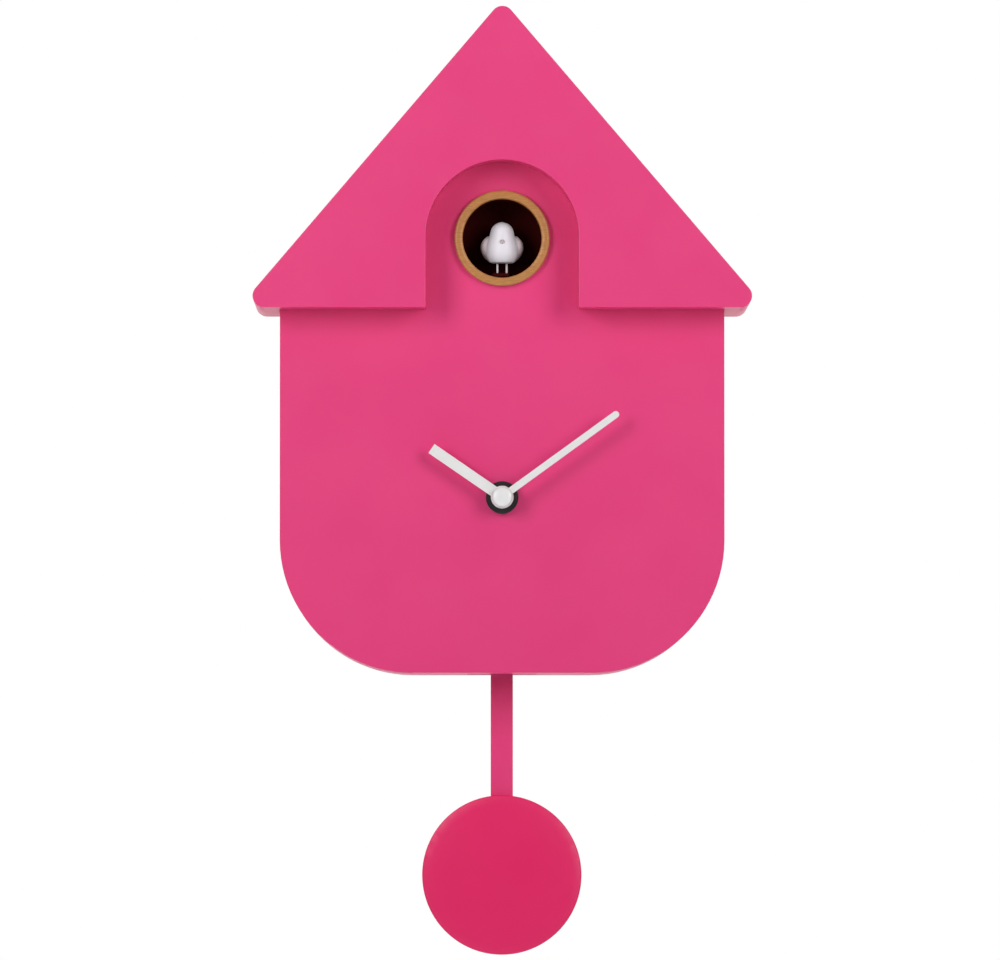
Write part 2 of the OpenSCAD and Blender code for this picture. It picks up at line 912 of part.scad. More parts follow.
module pendulum_hanger() {
    peg_z = pivot_z - peg_drop;
    color(white) {
        slab(hanger_y[0], hanger_y[1])
            difference() {
                union() {
                    translate([0, pivot_z])
                        circle(3.2);
                    translate([-2.5, peg_z])
                        square([5, peg_drop]);
                    translate([0, peg_z])
                        circle(3.2);
                }
                translate([0, pivot_z])
                    circle(pivot_r + 0.05);
            }
        rod_y(0, peg_z, 1.5, hanger_y[1] - eps, rod_y0 + rod_t + 1.2);
        rod_y(0, peg_z, 2.2, rod_y0 + rod_t + 0.2, rod_y0 + rod_t + 1.2);
    }
}

module pendulum_magnet() {
    color(steel)
    rod_y(0, pivot_z - coil_drop, 4, magnet_y[0], magnet_y[1]);
}

module pendulum_rod() {
    peg_z = pivot_z - peg_drop;
    color(pink)
    slab(rod_y0, rod_y0 + rod_t)
        difference() {
            union() {
                translate([-rod_w / 2, bob_z - 20])
                    square([rod_w, peg_z - bob_z + 20]);
                translate([0, peg_z])
                    circle(rod_w / 2);
            }
            translate([0, peg_z])
                circle(1.55);
            for (z = bob_screw_z)
                translate([0, z])
                    circle(pilot_r);
        }
}

// Disc with a gently domed front
module pendulum_bob() {
    steps = 8;
    front = [for (i = [0 : steps])
        [bob_r * i / steps, bob_t - bob_dome * pow(i / steps, 2)]];
    color([0.84, 0.18, 0.40])
    difference() {
        translate([0, rod_y0, bob_z])
            rotate([90, 0, 0])
                rotate_extrude()
                    polygon(concat([[0, 0]], front, [[bob_r, 0]]));
        for (z = bob_screw_z)
            rod_y(0, z, pilot_r, rod_y0 - 4, rod_y0 + over);
    }
}

module bob_screws() {
    color(steel)
    for (z = bob_screw_z) {
        rod_y(0, z, screw_r, rod_y0 - 3.8, rod_y0 + rod_t + eps);
        rod_y(0, z, head_r, rod_y0 + rod_t, rod_y0 + rod_t + 1.8);
    }
}

// ---- Batteries ----

tray_wall = 1.5;
tray_front = -21;
tray_back = cover_inner - 0.05;
cell_pitch = 15.2;
cell_y = -12;
cell_x = (bay[0] + bay[1]) / 2;
plate_t = 0.4;

module battery_tray() {
    color(black)
    difference() {
        block([bay[0] - tray_wall, tray_front, bay[2] - tray_wall],
            [bay[1] + tray_wall, tray_back, bay[3] + tray_wall]);
        block([bay[0], tray_front + tray_wall, bay[2]], [bay[1], over, bay[3]]);
    }
    // low ribs between the cells
    color(black)
    for (side = [-0.5, 0.5])
        block([cell_x + side * cell_pitch - 0.4, tray_front + tray_wall - eps, bay[2] + 8],
            [cell_x + side * cell_pitch + 0.4, tray_front + tray_wall + 3, bay[3] - 8]);
}

module sound_cells() {
    color([0.25, 0.27, 0.30])
    for (i = [-1 : 1])
        translate([cell_x + i * cell_pitch, cell_y, 0])
            if (i == 0)
                translate([0, 0, bay[3] - plate_t - 0.1 - cell_len - nub_len])
                    cell();
            else
                translate([0, 0, bay[2] + plate_t + 0.1 + cell_len + nub_len])
                    rotate([180, 0, 0])
                        cell();
}

module cell_contacts() {
    spring_h = bay[3] - bay[2] - cell_len - nub_len - 2 * plate_t - 0.2;
    color(steel)
    for (i = [-1 : 1])
        translate([cell_x + i * cell_pitch, cell_y, 0]) {
            for (z = [bay[2] + 0.05, bay[3] - plate_t - 0.05])
                translate([-5.5, -5.5, z])
                    cube([11, 11, plate_t]);
            if (i == 0)
                translate([0, 0, bay[2] + 0.05 + plate_t - eps])
                    contact_spring(spring_h);
            else
                translate([0, 0, bay[3] - plate_t - 0.04])
                    rotate([180, 0, 0])
                        contact_spring(spring_h);
        }
}

// Door: hangs from two pintles along its top edge and opens outwards
module battery_door() {
    x0 = bay[0] + door_play;
    x1 = bay[1] - door_play;
    knuckle_r = 1.05;
    color(pink_back) {
        block([x0, -2.25, bay[2] + door_play], [x1, -0.25, hinge_z]);
        translate([x0, hinge_y, hinge_z])
            rotate([0, 90, 0])
                cylinder(r = knuckle_r, h = x1 - x0);
        translate([bay[0] - pintle_len, hinge_y, hinge_z])
            rotate([0, 90, 0])
                cylinder(r = pintle_r, h = bay[1] - bay[0] + 2 * pintle_len);
        // grip ribs by the free edge
        for (i = [0 : 3])
            block([cell_x - 8, -0.26, bay[2] + 4 + 2 * i], [cell_x + 8, -0.02, bay[2] + 5 + 2 * i]);
    }
}

// ---- Sound ----

speaker_r = 20;
board_posts = [[44, -145], [74, -145], [44, -116], [74, -116]];
board_y = [-13.6, -12];

module speaker_basket() {
    color(black) {
        tube_y(speaker_c[0], speaker_c[1], speaker_r, speaker_r - 1.5, -9, cover_inner - 0.05);
        tube_y(speaker_c[0], speaker_c[1], speaker_r, 8, -10.2, -9 + eps);
    }
}

module speaker_cone() {
    color(dark)
    translate([speaker_c[0], 0, speaker_c[1]])
        rotate([-90, 0, 0])
            translate([0, 0, -8.8])
                rotate_extrude()
                    polygon([[0, 0], [5, 0], [17.9, 4.2], [18.4, 4.2], [18.4, 4.8], [17.7, 4.8],
                        [4.8, 0.8], [0, 0.8]]);
}

module speaker_magnet() {
    color(steel) {
        rod_y(speaker_c[0], speaker_c[1], 12, -16.2, -10.2);
        rod_y(speaker_c[0], speaker_c[1], 7.9, -10.3, -9);
    }
}

module sound_board() {
    color(green)
    difference() {
        slab(board_y[0], board_y[1])
            plate(40, 78, -149, -112, 1.5);
        for (p = board_posts)
            rod_y(p[0], p[1], 1.3, -20, 0);
    }
}

module board_parts() {
    color(black) {
        block([52, -15.2, -128], [60, board_y[0], -120]);
        block([47, -14.8, -142], [55, board_y[0], -138]);
    }
    color(steel)
    translate([68, board_y[0], -124])
        rotate([90, 0, 0])
            cylinder(r = 3, h = 6.5);
}

module board_screws() {
    color(steel)
    for (p = board_posts) {
        rod_y(p[0], p[1], 1, board_y[0] - eps, -6);
        rod_y(p[0], p[1], 1.9, board_y[0] - 1.3, board_y[0]);
    }
}

module switch_case() {
    c = switch_c;
    color(steel)
    difference() {
        block([c[0] - 6.5, board_y[1], c[1] - 3.2], [c[0] + 6.5, cover_inner - 0.3, c[1] + 3.2]);
        block([c[0] - 5.4, -8, c[1] - 2.2], [c[0] + 5.4, over, c[1] + 2.2]);
    }
}

module sound_switch() {
    c = switch_c;
    x0 = c[0] - switch_travel / 2;
    color(black) {
        block([x0 - 2.9, -7.5, c[1] - 2.05], [x0 + 2.9, -2, c[1] + 2.05]);
        for (i = [-1 : 1])
            block([x0 + 1.6 * i - 0.5, -2 - eps, c[1] - 2.05], [x0 + 1.6 * i + 0.5, -0.4, c[1] + 2.05]);
        block([x0 - 2.9, -2 - eps, c[1] - 2.05], [x0 + 2.9, -1.1, c[1] + 2.05]);
    }
}

body_shell();
roof_shell();
back_cover();
cover_screws();
roof_screws();
bird_ring();
bird_tunnel();
cuckoo_shelf();
shelf_screws();
bird_body();
bird_wings();
bird_beak();
bird_legs();
bird_carriage();
rack_pinion();
pinion_axle();
cuckoo_motor();
motor_pinion();
movement_case();
movement_cover();
bush_washer();
threaded_bush();
dial_nut();
hour_wheel();
hour_hand();
minute_arbor();
minute_hand();
hand_cap();
motion_wheel();
third_wheel();
setting_knob();
stepper_rotor();
stepper_stator();
stepper_coil();
quartz_board();
clock_cell();
clock_contacts();
pendulum_bracket();
bracket_screws();
pivot_pin();
drive_coil();
pendulum_hanger();
pendulum_magnet();
pendulum_rod();
pendulum_bob();
bob_screws();
battery_tray();
sound_cells();
cell_contacts();
battery_door();
speaker_basket();
speaker_cone();
speaker_magnet();
sound_board();
board_parts();
board_screws();
switch_case();
sound_switch();
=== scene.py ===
"""House-shaped cuckoo clock: its looks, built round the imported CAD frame.

Metres, +Z up, dial facing -Y.
"""

import json
import math

import bmesh
import bpy
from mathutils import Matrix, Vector


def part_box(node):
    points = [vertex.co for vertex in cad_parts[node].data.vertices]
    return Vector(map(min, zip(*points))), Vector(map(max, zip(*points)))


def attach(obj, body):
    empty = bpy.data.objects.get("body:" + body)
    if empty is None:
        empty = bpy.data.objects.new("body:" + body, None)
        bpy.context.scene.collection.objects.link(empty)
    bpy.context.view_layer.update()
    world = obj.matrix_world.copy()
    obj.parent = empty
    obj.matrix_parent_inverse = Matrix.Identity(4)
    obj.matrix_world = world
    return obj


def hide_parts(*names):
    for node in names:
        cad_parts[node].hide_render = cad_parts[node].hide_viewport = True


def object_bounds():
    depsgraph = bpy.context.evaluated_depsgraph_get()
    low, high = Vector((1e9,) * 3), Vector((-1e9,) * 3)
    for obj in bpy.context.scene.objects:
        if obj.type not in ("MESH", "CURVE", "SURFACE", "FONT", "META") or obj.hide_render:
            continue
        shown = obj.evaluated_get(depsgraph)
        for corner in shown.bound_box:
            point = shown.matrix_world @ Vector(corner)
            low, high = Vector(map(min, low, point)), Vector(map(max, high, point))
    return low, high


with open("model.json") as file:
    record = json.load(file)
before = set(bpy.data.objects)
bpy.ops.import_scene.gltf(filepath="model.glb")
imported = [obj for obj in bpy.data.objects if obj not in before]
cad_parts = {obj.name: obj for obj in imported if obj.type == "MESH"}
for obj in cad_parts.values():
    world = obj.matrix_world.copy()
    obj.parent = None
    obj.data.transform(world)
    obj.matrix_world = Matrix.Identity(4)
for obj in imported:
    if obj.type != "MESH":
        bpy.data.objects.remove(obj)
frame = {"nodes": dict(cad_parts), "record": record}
CAD_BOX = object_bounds()
NODES = frame["nodes"]
MM = 0.001


# ---- Camera, lights and stage ----

FRONT_Y = CAD_BOX[0].y
EAVE_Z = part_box("roof_shell")[0].z
VIEW_M = 0.430      # width of the view at the roof's front
CAMERA_D = 4.5      # distance from the camera to the roof's front
CAMERA_X = -0.0206  # the camera stands a little to the left
CAMERA_Z = EAVE_Z - 0.235
AIM = Vector((-0.0010, FRONT_Y, EAVE_Z - 0.0744))

LIGHT_TARGET = Vector((0, 0, EAVE_Z + 0.02))
LIGHT_D = 1.2  # distance from every light to its target
# Name, degrees right of the camera, degrees up, width and height in degrees, watts
LIGHTS = [
    ("left", -36, 12, (20, 30), 6.9),
    ("right", 36, 12, (20, 30), 6.1),
    ("top", -3, 50, (45, 30), 1.6),
]
ROOM = 0.02              # strength of the world in front of the clock
WALL = 2.0               # strength of the world behind it
FADE = (-0.2, 0.5)       # where the one turns into the other, along +Y
FLOOR_DROP = 0.75        # how far the floor lies below the pendulum
FLOOR_SPAN = 12


def make_camera():
    """Long lens in front of the clock, as wide as VIEW_M at the roof's front."""
    data = bpy.data.cameras.new("camera")
    camera = bpy.data.objects.new("camera", data)
    bpy.context.scene.collection.objects.link(camera)
    place = Vector((CAMERA_X, FRONT_Y - CAMERA_D, CAMERA_Z))
    camera.location = place
    camera.rotation_mode = "QUATERNION"
    camera.rotation_quaternion = (AIM - place).to_track_quat("-Z", "Y")
    data.sensor_width = 36.0
    data.lens = data.sensor_width * (AIM - place).length / VIEW_M
    data.clip_start = 0.1
    data.clip_end = 30.0
    bpy.context.scene.camera = camera


def soft_box(name, turn, rise, spans, watts):
    """One of LIGHTS, facing LIGHT_TARGET."""
    turn, rise = math.radians(turn), math.radians(rise)
    flat = math.cos(rise)
    away = Vector((math.sin(turn) * flat, -math.cos(turn) * flat, math.sin(rise)))
    data = bpy.data.lights.new(name, "AREA")
    data.shape = "RECTANGLE"
    data.size, data.size_y = (2 * LIGHT_D * math.tan(math.radians(span) / 2) for span in spans)
    data.energy = watts
    light = bpy.data.objects.new(name, data)
    bpy.context.scene.collection.objects.link(light)
    light.location = LIGHT_TARGET + LIGHT_D * away
    light.rotation_mode = "QUATERNION"
    light.rotation_quaternion = (-away).to_track_quat("-Z", "Y")


def make_world():
    """White to the camera; as a light, a dark room before the clock and a white wall behind."""
    world = bpy.data.worlds.new("studio")
    bpy.context.scene.world = world
    world.use_nodes = True
    tree = world.node_tree
    seen = tree.nodes["Background"]
    seen.inputs["Color"].default_value = (1.0, 1.0, 1.0, 1.0)
    coordinates = tree.nodes.new("ShaderNodeTexCoord")
    split = tree.nodes.new("ShaderNodeSeparateXYZ")
    strength = tree.nodes.new("ShaderNodeMapRange")
    strength.inputs["From Min"].default_value = FADE[0]
    strength.inputs["From Max"].default_value = FADE[1]
    strength.inputs["To Min"].default_value = ROOM
    strength.inputs["To Max"].default_value = WALL
    lit = tree.nodes.new("ShaderNodeBackground")
    path = tree.nodes.new("ShaderNodeLightPath")
    mix = tree.nodes.new("ShaderNodeMixShader")
    join = tree.links.new
    join(coordinates.outputs["Generated"], split.inputs["Vector"])
    join(split.outputs["Y"], strength.inputs["Value"])
    join(strength.outputs["Result"], lit.inputs["Strength"])
    join(path.outputs["Is Camera Ray"], mix.inputs["Fac"])
    join(lit.outputs["Background"], mix.inputs[1])
    join(seen.outputs["Background"], mix.inputs[2])
    join(mix.outputs["Shader"], tree.nodes["World Output"].inputs["Surface"])


def make_stage():
    """Pale floor, well below the pendulum."""
    place = (0, 0, CAD_BOX[0].z - FLOOR_DROP)
    bpy.ops.mesh.primitive_plane_add(size=FLOOR_SPAN, location=place)
    floor = bpy.context.object
    floor.name = "floor"
    material = bpy.data.materials.new("floor")
    material.use_nodes = True
    bsdf = material.node_tree.nodes["Principled BSDF"]
    bsdf.inputs["Base Color"].default_value = (0.9, 0.9, 0.9, 1)
    bsdf.inputs["Roughness"].default_value = 0.7
    floor.data.materials.append(material)


make_camera()
make_world()
make_stage()
for light_row in LIGHTS:
    soft_box(*light_row)

scene = bpy.context.scene
scene.view_settings.view_transform = "Standard"
scene.view_settings.look = "None"


# ---- Material helpers ----

class Nodes:
    """A material's node tree, with short calls to add and join nodes."""

    def __init__(self, name):
        """A new material; place is the piece's own coordinates."""
        self.material = bpy.data.materials.new(name)
        self.material.use_nodes = True
        self.tree = self.material.node_tree
        self.bsdf = self.tree.nodes["Principled BSDF"]
        coordinates = self.tree.nodes.new("ShaderNodeTexCoord")
        self.place = coordinates.outputs["Object"]

    def add(self, kind, **values):
        """A shader node, with values for its inputs."""
        node = self.tree.nodes.new("ShaderNode" + kind)
        for key, value in values.items():
            node.inputs[key.replace("_", " ")].default_value = value
        return node

    def join(self, source, target):
        """A link from an output to an input."""
        self.tree.links.new(source, target)

    def noise(self, scale, detail=3.0, roughness=0.55, stretch=None):
        """Noise over the object's own coordinates; scale is in waves per metre."""
        node = self.add("TexNoise", Scale=scale, Detail=detail, Roughness=roughness)
        source = self.place
        if stretch:
            mapping = self.add("Mapping", Scale=stretch)
            self.join(source, mapping.inputs["Vector"])
            source = mapping.outputs["Vector"]
        self.join(source, node.inputs["Vector"])
        return node.outputs["Fac"]

    def ramp(self, source, low, high, from_low=0.3, from_high=0.7):
        """A number that follows source, spread from low to high."""
        node = self.add("MapRange")
        self.join(source, node.inputs["Value"])
        node.inputs["From Min"].default_value = from_low
        node.inputs["From Max"].default_value = from_high
        node.inputs["To Min"].default_value = low
        node.inputs["To Max"].default_value = high
        return node.outputs["Result"]

    def blend(self, source, low, high, from_low=0.3, from_high=0.7):
        """A colour that follows source, from low to high."""
        node = self.add("ValToRGB")
        self.join(source, node.inputs["Fac"])
        stops = node.color_ramp.elements
        stops[0].position, stops[0].color = from_low, (*low, 1)
        stops[1].position, stops[1].color = from_high, (*high, 1)
        return node.outputs["Color"]

    def set(self, **values):
        """Values for the main shader's inputs."""
        for key, value in values.items():
            self.bsdf.inputs[key.replace("_", " ")].default_value = value

    def colour(self, source):
        """Takes the base colour from an output."""
        self.join(source, self.bsdf.inputs["Base Color"])

    def rough(self, source):
        """Takes the roughness from an output."""
        self.join(source, self.bsdf.inputs["Roughness"])

    def bump(self, source, depth, below=None):
        """Bump of a given depth in metres, on top of the bump below."""
        node = self.add("Bump", Strength=1.0, Distance=depth)
        self.join(source, node.inputs["Height"])
        if below:
            self.join(below, node.inputs["Normal"])
        self.join(node.outputs["Normal"], self.bsdf.inputs["Normal"])
        return node.outputs["Normal"]


def shade(colour, factor):
    """A colour made darker or lighter by a factor."""
    return tuple(c * factor for c in colour)


# ---- Materials, one function for each family ----

def moulded(name, colour, rough=0.42, grain=0.000012, mottle=0.012, specular=0.5):
    """Moulded plastic: spark-eroded grain, faint flow mottle and handled patches."""
    m = Nodes(name)
    flow = m.noise(14.0, 4.0, 0.6)
    m.colour(m.blend(flow, shade(colour, 1 - mottle), shade(colour, 1 + mottle)))
    handled = m.noise(38.0, 5.0, 0.6)
    m.rough(m.ramp(handled, rough - 0.02, rough + 0.025))
    waves = m.bump(m.noise(55.0, 2.0), 0.000015)
    m.bump(m.noise(3600.0, 2.0, 0.5), grain, waves)
    m.set(Specular_IOR_Level=specular)
    return m.material


def lacquered(name, colour, rough=0.36):
    """Painted sheet or wire: thin lacquer with orange peel and a few dulled spots."""
    m = Nodes(name)
    spots = m.noise(160.0, 4.0, 0.65)
    m.colour(m.blend(spots, shade(colour, 0.97), colour, 0.35, 0.55))
    m.rough(m.ramp(m.noise(420.0, 3.0), rough - 0.06, rough + 0.08))
    m.bump(m.noise(1400.0, 2.0), 0.000008)
    m.set(Coat_Weight=0.25, Coat_Roughness=0.18)
    return m.material


def metal(name, colour, rough=0.3, brushed=(1, 1, 60), tarnish=0.15):
    """Bare metal: drawn or turned scratches and a thin tarnish."""
    m = Nodes(name)
    film = m.noise(90.0, 5.0, 0.6)
    m.colour(m.blend(film, shade(colour, 1 - tarnish), colour, 0.3, 0.6))
    scratches = m.noise(900.0, 3.0, 0.7, brushed)
    m.rough(m.ramp(scratches, rough - 0.08, rough + 0.12))
    m.bump(scratches, 0.000006)
    m.set(Metallic=1.0)
    return m.material


def wood_ring(name, light, dark_tone):
    """Turned wood ring: long grain across, pores and a satin oil finish."""
    m = Nodes(name)
    grain = m.noise(260.0, 5.0, 0.6, (1.0, 1.0, 9.0))
    m.colour(m.blend(grain, dark_tone, light, 0.32, 0.62))
    m.rough(m.ramp(grain, 0.5, 0.36))
    pores = m.noise(1500.0, 3.0, 0.6, (0.6, 1.0, 6.0))
    m.bump(pores, 0.00003)
    m.set(Coat_Weight=0.15, Coat_Roughness=0.3)
    return m.material


def rubber(name, colour):
    """Dull black surface with a fine tooth."""
    m = Nodes(name)
    m.colour(m.blend(m.noise(220.0, 4.0), shade(colour, 0.8), shade(colour, 1.3)))
    m.rough(m.ramp(m.noise(500.0), 0.7, 0.85))
    m.bump(m.noise(2600.0, 3.0), 0.00002)
    return m.material


def winding(name, colour):
    """Enamelled wire laid turn by turn, with painted shade in the grooves between turns."""
    m = Nodes(name)
    wave = m.add("TexWave", Scale=900.0, Distortion=0.6, Detail=1.0)
    wave.bands_direction = "X"
    m.join(m.place, wave.inputs["Vector"])
    # painted shade: the colour darkens where the bump sinks between turns
    m.colour(m.blend(wave.outputs["Fac"], shade(colour, 0.45), colour, 0.1, 0.6))
    m.rough(m.ramp(wave.outputs["Fac"], 0.35, 0.22, 0.0, 1.0))
    m.bump(wave.outputs["Fac"], 0.00008)
    m.set(Metallic=0.6, Coat_Weight=0.5, Coat_Roughness=0.1)
    return m.material


def circuit_board(name, colour):
    """Solder mask over copper tracks, which show as paler raised lines."""
    m = Nodes(name)
    flat = m.add("Mapping", Rotation=(math.pi / 2, 0, 0))
    m.join(m.place, flat.inputs["Vector"])
    lanes = m.add("TexBrick", Scale=1.0, Mortar_Size=0.00016, Mortar_Smooth=0.1,
                  Brick_Width=0.0273, Row_Height=0.0012)
    lanes.offset, lanes.offset_frequency = 0.31, 3
    m.join(flat.outputs["Vector"], lanes.inputs["Vector"])
    tracks = lanes.outputs["Fac"]
    m.colour(m.blend(tracks, colour, shade(colour, 1.5), 0.2, 0.8))
    m.rough(m.ramp(m.noise(300.0), 0.22, 0.34))
    m.bump(tracks, 0.00003)
    m.set(Coat_Weight=0.4, Coat_Roughness=0.12)
    return m.material


def cell_sleeve(name, colour, band):
    """Battery sleeve: plain foil with a coloured band towards the nub."""
    m = Nodes(name)
    split = m.add("SeparateXYZ")
    m.join(m.place, split.inputs["Vector"])
    ramp = m.add("ValToRGB")
    ramp.color_ramp.interpolation = "CONSTANT"
    span = m.ramp(split.outputs["Z"], 0.0, 1.0, 0.0, CELL_LENGTH)
    m.join(span, ramp.inputs["Fac"])
    stops = ramp.color_ramp.elements
    stops[0].position, stops[0].color = 0.0, (*colour, 1)
    stops[1].position, stops[1].color = 0.72, (*band, 1)
    m.colour(ramp.outputs["Color"])
    m.rough(m.ramp(m.noise(200.0), 0.2, 0.32))
    m.bump(m.noise(800.0), 0.00001)
    m.set(Coat_Weight=0.3, Coat_Roughness=0.1)
    return m.material


def paper_cone(name, colour):
    """Pressed paper with visible fibres."""
    m = Nodes(name)
    fibres = m.noise(1800.0, 5.0, 0.7, (1.0, 1.0, 3.0))
    m.colour(m.blend(fibres, shade(colour, 0.6), shade(colour, 1.8)))
    m.rough(m.ramp(fibres, 0.8, 0.95))
    m.bump(fibres, 0.00006)
    return m.material


PINK = (0.745, 0.018, 0.173)
PINK_BOB = (0.750, 0.008, 0.118)
PINK_BACK = (0.60, 0.035, 0.15)
CELL_LENGTH = (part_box("clock_cell")[1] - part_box("clock_cell")[0]).x

LOOKS = {
    "pink_plastic": moulded("pink_plastic", PINK, specular=1.0),
    "bob_plastic": moulded("bob_plastic", PINK_BOB),
    "back_plastic": moulded("back_plastic", PINK_BACK, 0.5, 0.00002),
    "ring_gold": wood_ring("ring_gold", (0.48, 0.227, 0.060), (0.34, 0.140, 0.032)),
    # the bird tunnel is dark plastic; its red-black tone is partly painted shade of the hole's
    # inside
    "tunnel_dark": moulded("tunnel_dark", (0.045, 0.0006, 0.0006), 0.85, specular=0.1),
    "bird_white": moulded("bird_white", (0.75, 0.76, 0.82), 0.5, 0.00002, mottle=0.015),
    "bird_pink": moulded("bird_pink", (0.78, 0.66, 0.71), 0.5, 0.00002, mottle=0.05),
    "beak_grey": moulded("beak_grey", (0.62, 0.56, 0.58), 0.4),
    "bird_wire": lacquered("bird_wire", (0.80, 0.76, 0.78)),
    "hand_white": lacquered("hand_white", (0.78, 0.77, 0.77)),
    "black_plastic": moulded("black_plastic", (0.013, 0.013, 0.014), 0.4, mottle=0.1),
    "black_rubber": rubber("black_rubber", (0.012, 0.012, 0.012)),
    "white_plastic": moulded("white_plastic", (0.74, 0.73, 0.70), 0.45, mottle=0.02),
    "brass": metal("brass", (0.72, 0.50, 0.20), 0.28),
    "steel": metal("steel", (0.56, 0.57, 0.58), 0.3),
    "magnet_steel": metal("magnet_steel", (0.33, 0.33, 0.34), 0.42),
    "copper_wire": winding("copper_wire", (0.60, 0.22, 0.08)),
    "board_green": circuit_board("board_green", (0.02, 0.14, 0.06)),
    "cell_jacket": cell_sleeve("cell_jacket", (0.03, 0.035, 0.05), (0.60, 0.27, 0.08)),
    "speaker_paper": paper_cone("speaker_paper", (0.02, 0.02, 0.02)),
}


def dress_cad():
    """Gives every CAD node its slot's material."""
    for sub in frame["record"]["subparts"]:
        node = NODES[sub["node"]]
        node.data.materials.clear()
        node.data.materials.append(LOOKS[sub["material_slot"]])


def soften(node, width):
    """Rounds a CAD node's edges without touching its mesh."""
    obj = NODES[node]
    weld = obj.modifiers.new("weld", "WELD")
    weld.merge_threshold = 0.000002
    flat = obj.modifiers.new("flat", "DECIMATE")
    flat.decimate_type = "DISSOLVE"
    flat.angle_limit = math.radians(0.3)
    bevel = obj.modifiers.new("bevel", "BEVEL")
    bevel.width = width
    bevel.segments = 3
    bevel.limit_method = "ANGLE"
    bevel.angle_limit = math.radians(35)
    bevel.harden_normals = True
    bevel.use_clamp_overlap = True


# ---- Mesh helpers ----

X, Y, Z = Vector((1, 0, 0)), Vector((0, 1, 0)), Vector((0, 0, 1))


def islands(node):
    """The separate solids of a CAD node, each as (lowest corner, highest corner, points)."""
    bm = bmesh.new()
    bm.from_mesh(NODES[node].data)
    bmesh.ops.remove_doubles(bm, verts=bm.verts, dist=0.001 * MM)
    left, found = set(bm.verts), []
    for start in bm.verts:
        if start not in left:
            continue
        left.discard(start)
        stack, points = [start], []
        while stack:
            vert = stack.pop()
            points.append(vert.co.copy())
            for edge in vert.link_edges:
                other = edge.other_vert(vert)
                if other in left:
                    left.discard(other)
                    stack.append(other)
        low = Vector([min(p[i] for p in points) for i in range(3)])
        high = Vector([max(p[i] for p in points) for i in range(3)])
        found.append((low, high, points))
    bm.free()
    return sorted(found, key=lambda f: [round(v, 5) for v in (*f[0], *f[1])])


def smooth_object(name, bm, sharp, slots):
    """An object from a bmesh, smooth but for edges sharper than an angle in degrees."""
    bmesh.ops.recalc_face_normals(bm, faces=bm.faces)
    mesh = bpy.data.meshes.new(name)
    bm.to_mesh(mesh)
    bm.free()
    mesh.polygons.foreach_set("use_smooth", [True] * len(mesh.polygons))
    mesh.set_sharp_from_angle(angle=math.radians(sharp))
    obj = bpy.data.objects.new(name, mesh)
    scene.collection.objects.link(obj)
    for slot in slots:
        mesh.materials.append(LOOKS[slot])
    return obj


def finish_piece(name, bm, body, slot, node, sharp=38.0):
    """Turns a bmesh into a piece that rides on a body and stands for a CAD node."""
    bmesh.ops.remove_doubles(bm, verts=bm.verts, dist=0.0005 * MM)
    obj = smooth_object(name, bm, sharp, [slot])
    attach(obj, body)
    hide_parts(node)
    return obj


def basis(axis):
    """Two directions square to an axis."""
    side = Z if abs(axis.z) < 0.9 else X
    u = side.cross(axis).normalized()
    return u, axis.cross(u)


def around(u, v, angle):
    """The unit vector at an angle from u towards v."""
    return math.cos(angle) * u + math.sin(angle) * v


def ring_of(bm, centre, axis, radius, segments):
    """A circle of points round an axis."""
    u, v = basis(axis)
    step = math.tau / segments
    return [bm.verts.new(centre + radius * around(u, v, step * k)) for k in range(segments)]


def skin(bm, loops, closed=False):
    """Faces between successive loops of points; a loop of one point is a tip."""
    pairs = list(zip(loops, loops[1:])) + ([(loops[-1], loops[0])] if closed else [])
    for a, b in pairs:
        count = max(len(a), len(b))
        for k in range(count):
            n = (k + 1) % count
            corners = [a[k % len(a)], a[n % len(a)], b[n % len(b)], b[k % len(b)]]
            face = [c for i, c in enumerate(corners) if c not in corners[:i]]
            if len(face) > 2:
                bm.faces.new(face)


def lathe(bm, place, axis, profile, segments=48, closed=False):
    """Turns (radius, height) points about an axis; heights run along it from place."""
    loops = [ring_of(bm, place + h * axis, axis, r, segments) if r > 0
             else [bm.verts.new(place + h * axis)] for r, h in profile]
    skin(bm, loops, closed)
    return loops


def sweep(bm, path, radius, sides=10):
    """Round wire along a path, with closed ends."""
    u = basis((path[1] - path[0]).normalized())[0]
    loops = []
    for i, point in enumerate(path):
        along = (path[min(i + 1, len(path) - 1)] - path[max(i - 1, 0)]).normalized()
        u = (u - u.dot(along) * along).normalized()
        v = along.cross(u)
        loops.append([bm.verts.new(point + radius * around(u, v, math.tau * k / sides))
                      for k in range(sides)])
    skin(bm, [[bm.verts.new(path[0])]] + loops + [[bm.verts.new(path[-1])]])


def slab_box(bm, low, high, bevel):
    """Block between two corners with its edges rounded."""
    made = bmesh.ops.create_cube(bm, size=1.0)["verts"]
    middle, size = (low + high) / 2, high - low
    for vert in made:
        vert.co = middle + Vector([vert.co[i] * size[i] for i in range(3)])
    edges = list(dict.fromkeys(edge for vert in made for edge in vert.link_edges))
    bmesh.ops.bevel(bm, geom=edges, offset=bevel, segments=2, profile=0.5, affect="EDGES")


# ---- Bird and ring ----

